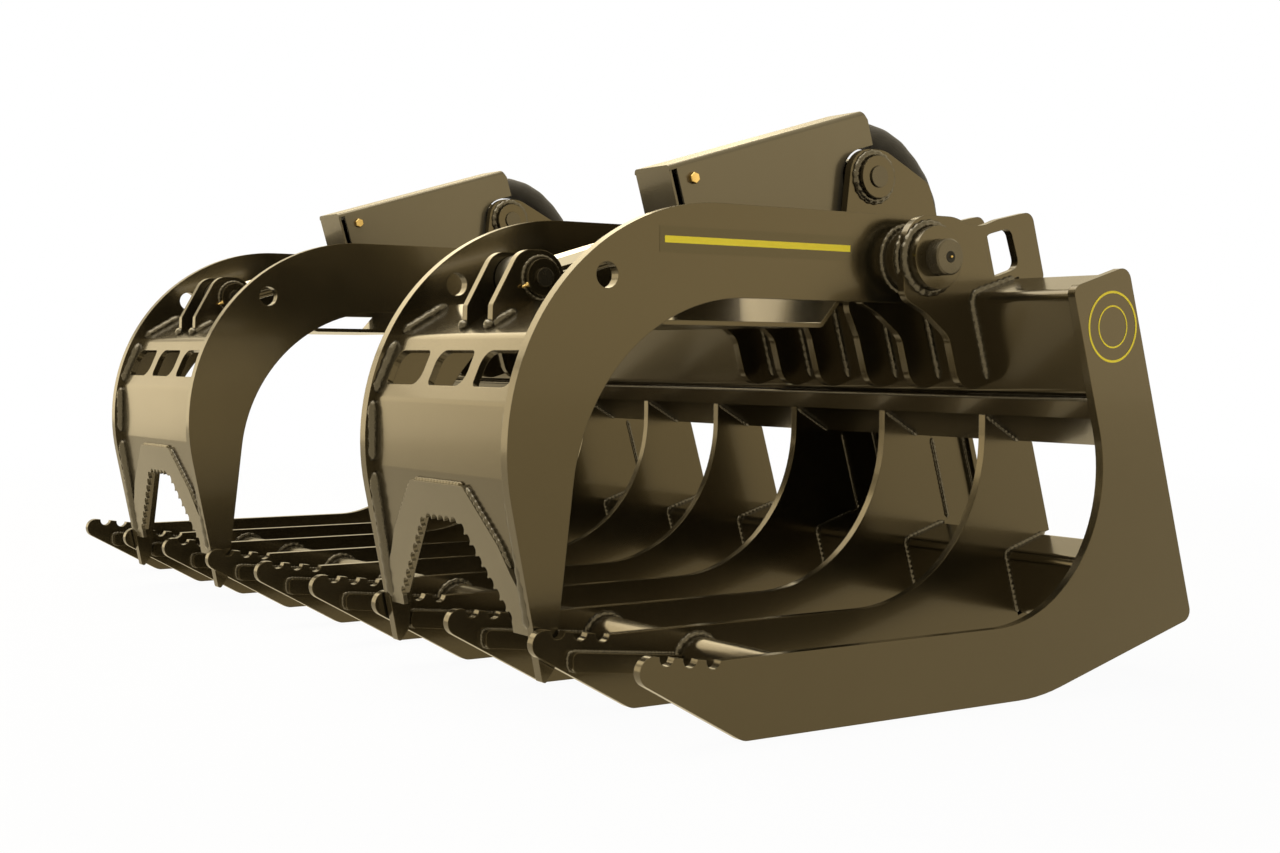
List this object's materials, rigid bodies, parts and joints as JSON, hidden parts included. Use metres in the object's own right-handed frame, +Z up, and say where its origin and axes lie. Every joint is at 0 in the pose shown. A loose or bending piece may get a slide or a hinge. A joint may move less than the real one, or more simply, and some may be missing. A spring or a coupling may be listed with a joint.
{
  "type": "root grapple",
  "caption": "Loader root grapple: upright tine plates on cross tubes, two independent curved arms closed by hydraulic cylinders under sheet guards, quick attach back.",
  "frame": {"origin": "middle of the footprint on the ground under the closed grapple", "axes": "+X to the grapple's left as seen from the loader's opposite side, that is to the right for someone facing the tines from the front; +Y to the rear, towards the loader; +Z up"},
  "size_m": [1.9876, 1.1124, 0.8219],
  "materials": {
    "frame_paint": "satin warm brown grey paint, slightly dusty",
    "cylinder_paint": "semi gloss black paint",
    "pin_steel": "turned steel",
    "rod_chrome": "polished hard chrome",
    "hose_sleeve": "woven black nylon sleeve over rubber hoses",
    "bolt_plating": "yellow zinc plating"
  },
  "bodies": {
    "frame": {"left_end_plate": "frame_paint", "right_end_plate": "frame_paint", "tine_2": "frame_paint", "tine_3": "frame_paint", "tine_4": "frame_paint", "tine_5": "frame_paint", "tine_6": "frame_paint", "tine_7": "frame_paint", "tine_8": "frame_paint", "tine_9": "frame_paint", "side_bars": "frame_paint", "cross_pipe": "frame_paint", "main_tube": "frame_paint", "lower_tube": "frame_paint", "lip_plate": "frame_paint", "mount_gussets": "frame_paint", "hose_clamps": "frame_paint", "left_mount_plate": "frame_paint", "left_outer_hinge_ears": "frame_paint", "left_inner_hinge_ears": "frame_paint", "left_cylinder_ears": "frame_paint", "left_hinge_pins": "pin_steel", "left_cylinder_pin": "pin_steel", "left_hose": "hose_sleeve", "right_mount_plate": "frame_paint", "right_outer_hinge_ears": "frame_paint", "right_inner_hinge_ears": "frame_paint", "right_cylinder_ears": "frame_paint", "right_hinge_pins": "pin_steel", "right_cylinder_pin": "pin_steel", "right_hose": "hose_sleeve"},
    "left_arm": {"left_arm_outer_plate": "frame_paint", "left_arm_inner_plate": "frame_paint", "left_arm_front_panel": "frame_paint", "left_arm_tooth_plate": "frame_paint", "left_arm_lugs": "frame_paint", "left_arm_brace": "frame_paint", "left_arm_hinge_bosses": "frame_paint", "left_arm_lug_pin": "pin_steel"},
    "left_cylinder": {"left_barrel": "cylinder_paint", "left_gland": "cylinder_paint", "left_guard": "frame_paint", "left_guard_bolts": "bolt_plating"},
    "left_cylinder_rod": {"left_rod": "rod_chrome", "left_piston": "pin_steel"},
    "right_arm": {"right_arm_outer_plate": "frame_paint", "right_arm_inner_plate": "frame_paint", "right_arm_front_panel": "frame_paint", "right_arm_tooth_plate": "frame_paint", "right_arm_lugs": "frame_paint", "right_arm_brace": "frame_paint", "right_arm_hinge_bosses": "frame_paint", "right_arm_lug_pin": "pin_steel"},
    "right_cylinder": {"right_barrel": "cylinder_paint", "right_gland": "cylinder_paint", "right_guard": "frame_paint", "right_guard_bolts": "bolt_plating"},
    "right_cylinder_rod": {"right_rod": "rod_chrome", "right_piston": "pin_steel"}
  },
  "joints": [
    {"name": "left_arm_hinge", "type": "hinge", "parent": "frame", "child": "left_arm", "pos_m": [-0.53975, 0.09819, 0.589], "axis": [-1, 0, 0], "range_deg": [0, 55]},
    {"name": "left_cylinder_hinge", "type": "hinge", "parent": "frame", "child": "left_cylinder", "pos_m": [-0.53975, 0.16419, 0.721], "axis": [-1, 0, 0], "range_deg": [0, 49.5], "deforming": ["left_hose"]},
    {"name": "left_rod_slide", "type": "slide", "parent": "left_cylinder", "child": "left_cylinder_rod", "axis": [0, 0.9597, 0.2809], "range_m": [0, 0.127]},
    {"name": "right_arm_hinge", "type": "hinge", "parent": "frame", "child": "right_arm", "pos_m": [0.53975, 0.09819, 0.589], "axis": [-1, 0, 0], "range_deg": [0, 55]},
    {"name": "right_cylinder_hinge", "type": "hinge", "parent": "frame", "child": "right_cylinder", "pos_m": [0.53975, 0.16419, 0.721], "axis": [-1, 0, 0], "range_deg": [0, 49.5], "deforming": ["right_hose"]},
    {"name": "right_rod_slide", "type": "slide", "parent": "right_cylinder", "child": "right_cylinder_rod", "axis": [0, 0.9597, 0.2809], "range_m": [0, 0.127]}
  ],
  "couplings": [
    {"joint": "left_cylinder_hinge", "follows": "left_arm_hinge", "ratio": 0.9},
    {"joint": "left_rod_slide", "follows": "left_arm_hinge", "m_per_rad": 0.1322},
    {"joint": "right_cylinder_hinge", "follows": "right_arm_hinge", "ratio": 0.9},
    {"joint": "right_rod_slide", "follows": "right_arm_hinge", "m_per_rad": 0.1322}
  ]
}
